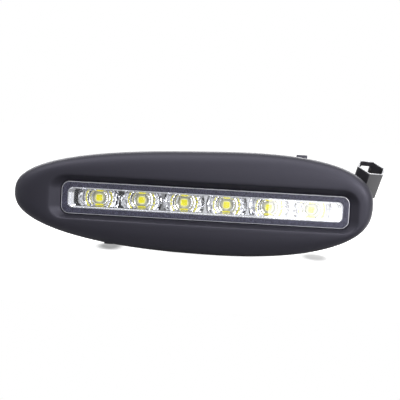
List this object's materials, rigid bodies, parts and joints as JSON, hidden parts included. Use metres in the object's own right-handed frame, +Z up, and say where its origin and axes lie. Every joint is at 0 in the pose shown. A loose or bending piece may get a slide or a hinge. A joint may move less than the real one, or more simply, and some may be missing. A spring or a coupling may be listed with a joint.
{
  "type": "daytime running light",
  "caption": "Egg-shaped daytime running light: black bezel with a slot lens over faceted chrome LED bowls, finned heat sink, driver box, hexagonal plug socket and rear bolt brackets.",
  "frame": {"origin": "midway between the two bolt holes, on the brackets' face that seats on the car", "axes": "+X along the light strip, to the right as seen from the road; +Y from the road into the car, along the bolts; +Z up"},
  "size_m": [0.2476, 0.048, 0.07],
  "materials": {
    "bezel": "satin, fine grain",
    "lens": "clear, frosted band round the window",
    "seal": "matt black silicone",
    "reflector": "vacuum metallised, faceted",
    "housing": "matt black, fine grain",
    "heat_sink": "as cast, bead blasted",
    "screws": "zinc plated",
    "led_board": "white solder mask on aluminium",
    "thermal_pad": "soft matt",
    "driver_board": "green solder mask",
    "copper": "enamelled copper wire",
    "capacitor": "dark sleeve",
    "chip_plastic": "matt black",
    "vent": "matt",
    "connector_shell": "semi-gloss black",
    "carrier": "natural, semi-matt",
    "terminal": "bright tin-brass",
    "led_body": "white",
    "phosphor": "yellow phosphor",
    "led_dome": "clear silicone",
    "bracket": "zinc-plated sheet"
  },
  "bodies": {
    "root": {"bezel": "bezel", "lens": "lens", "lens_seal": "seal", "reflector": "reflector", "housing": "housing", "housing_seal": "seal", "heat_sink": "heat_sink", "heat_sink_screws": "screws", "led_board": "led_board", "board_screws": "screws", "thermal_pad": "thermal_pad", "driver_cover": "housing", "cover_seal": "seal", "cover_screws": "screws", "driver_board": "driver_board", "inductor": "copper", "capacitors": "capacitor", "driver_chips": "chip_plastic", "breather_vent": "vent", "connector_shell": "connector_shell", "terminal_carrier": "carrier", "terminal_left": "terminal", "terminal_right": "terminal", "connector_seal": "seal", "bracket_left": "bracket", "bracket_right": "bracket", "bezel_screws": "screws", "led_1": "led_body", "led_2": "led_body", "led_3": "led_body", "led_4": "led_body", "led_5": "led_body", "led_6": "led_body", "led_chip_1": "phosphor", "led_chip_2": "phosphor", "led_chip_3": "phosphor", "led_chip_4": "phosphor", "led_chip_5": "phosphor", "led_chip_6": "phosphor", "led_dome_1": "led_dome", "led_dome_2": "led_dome", "led_dome_3": "led_dome", "led_dome_4": "led_dome", "led_dome_5": "led_dome", "led_dome_6": "led_dome"}
  },
  "joints": []
}
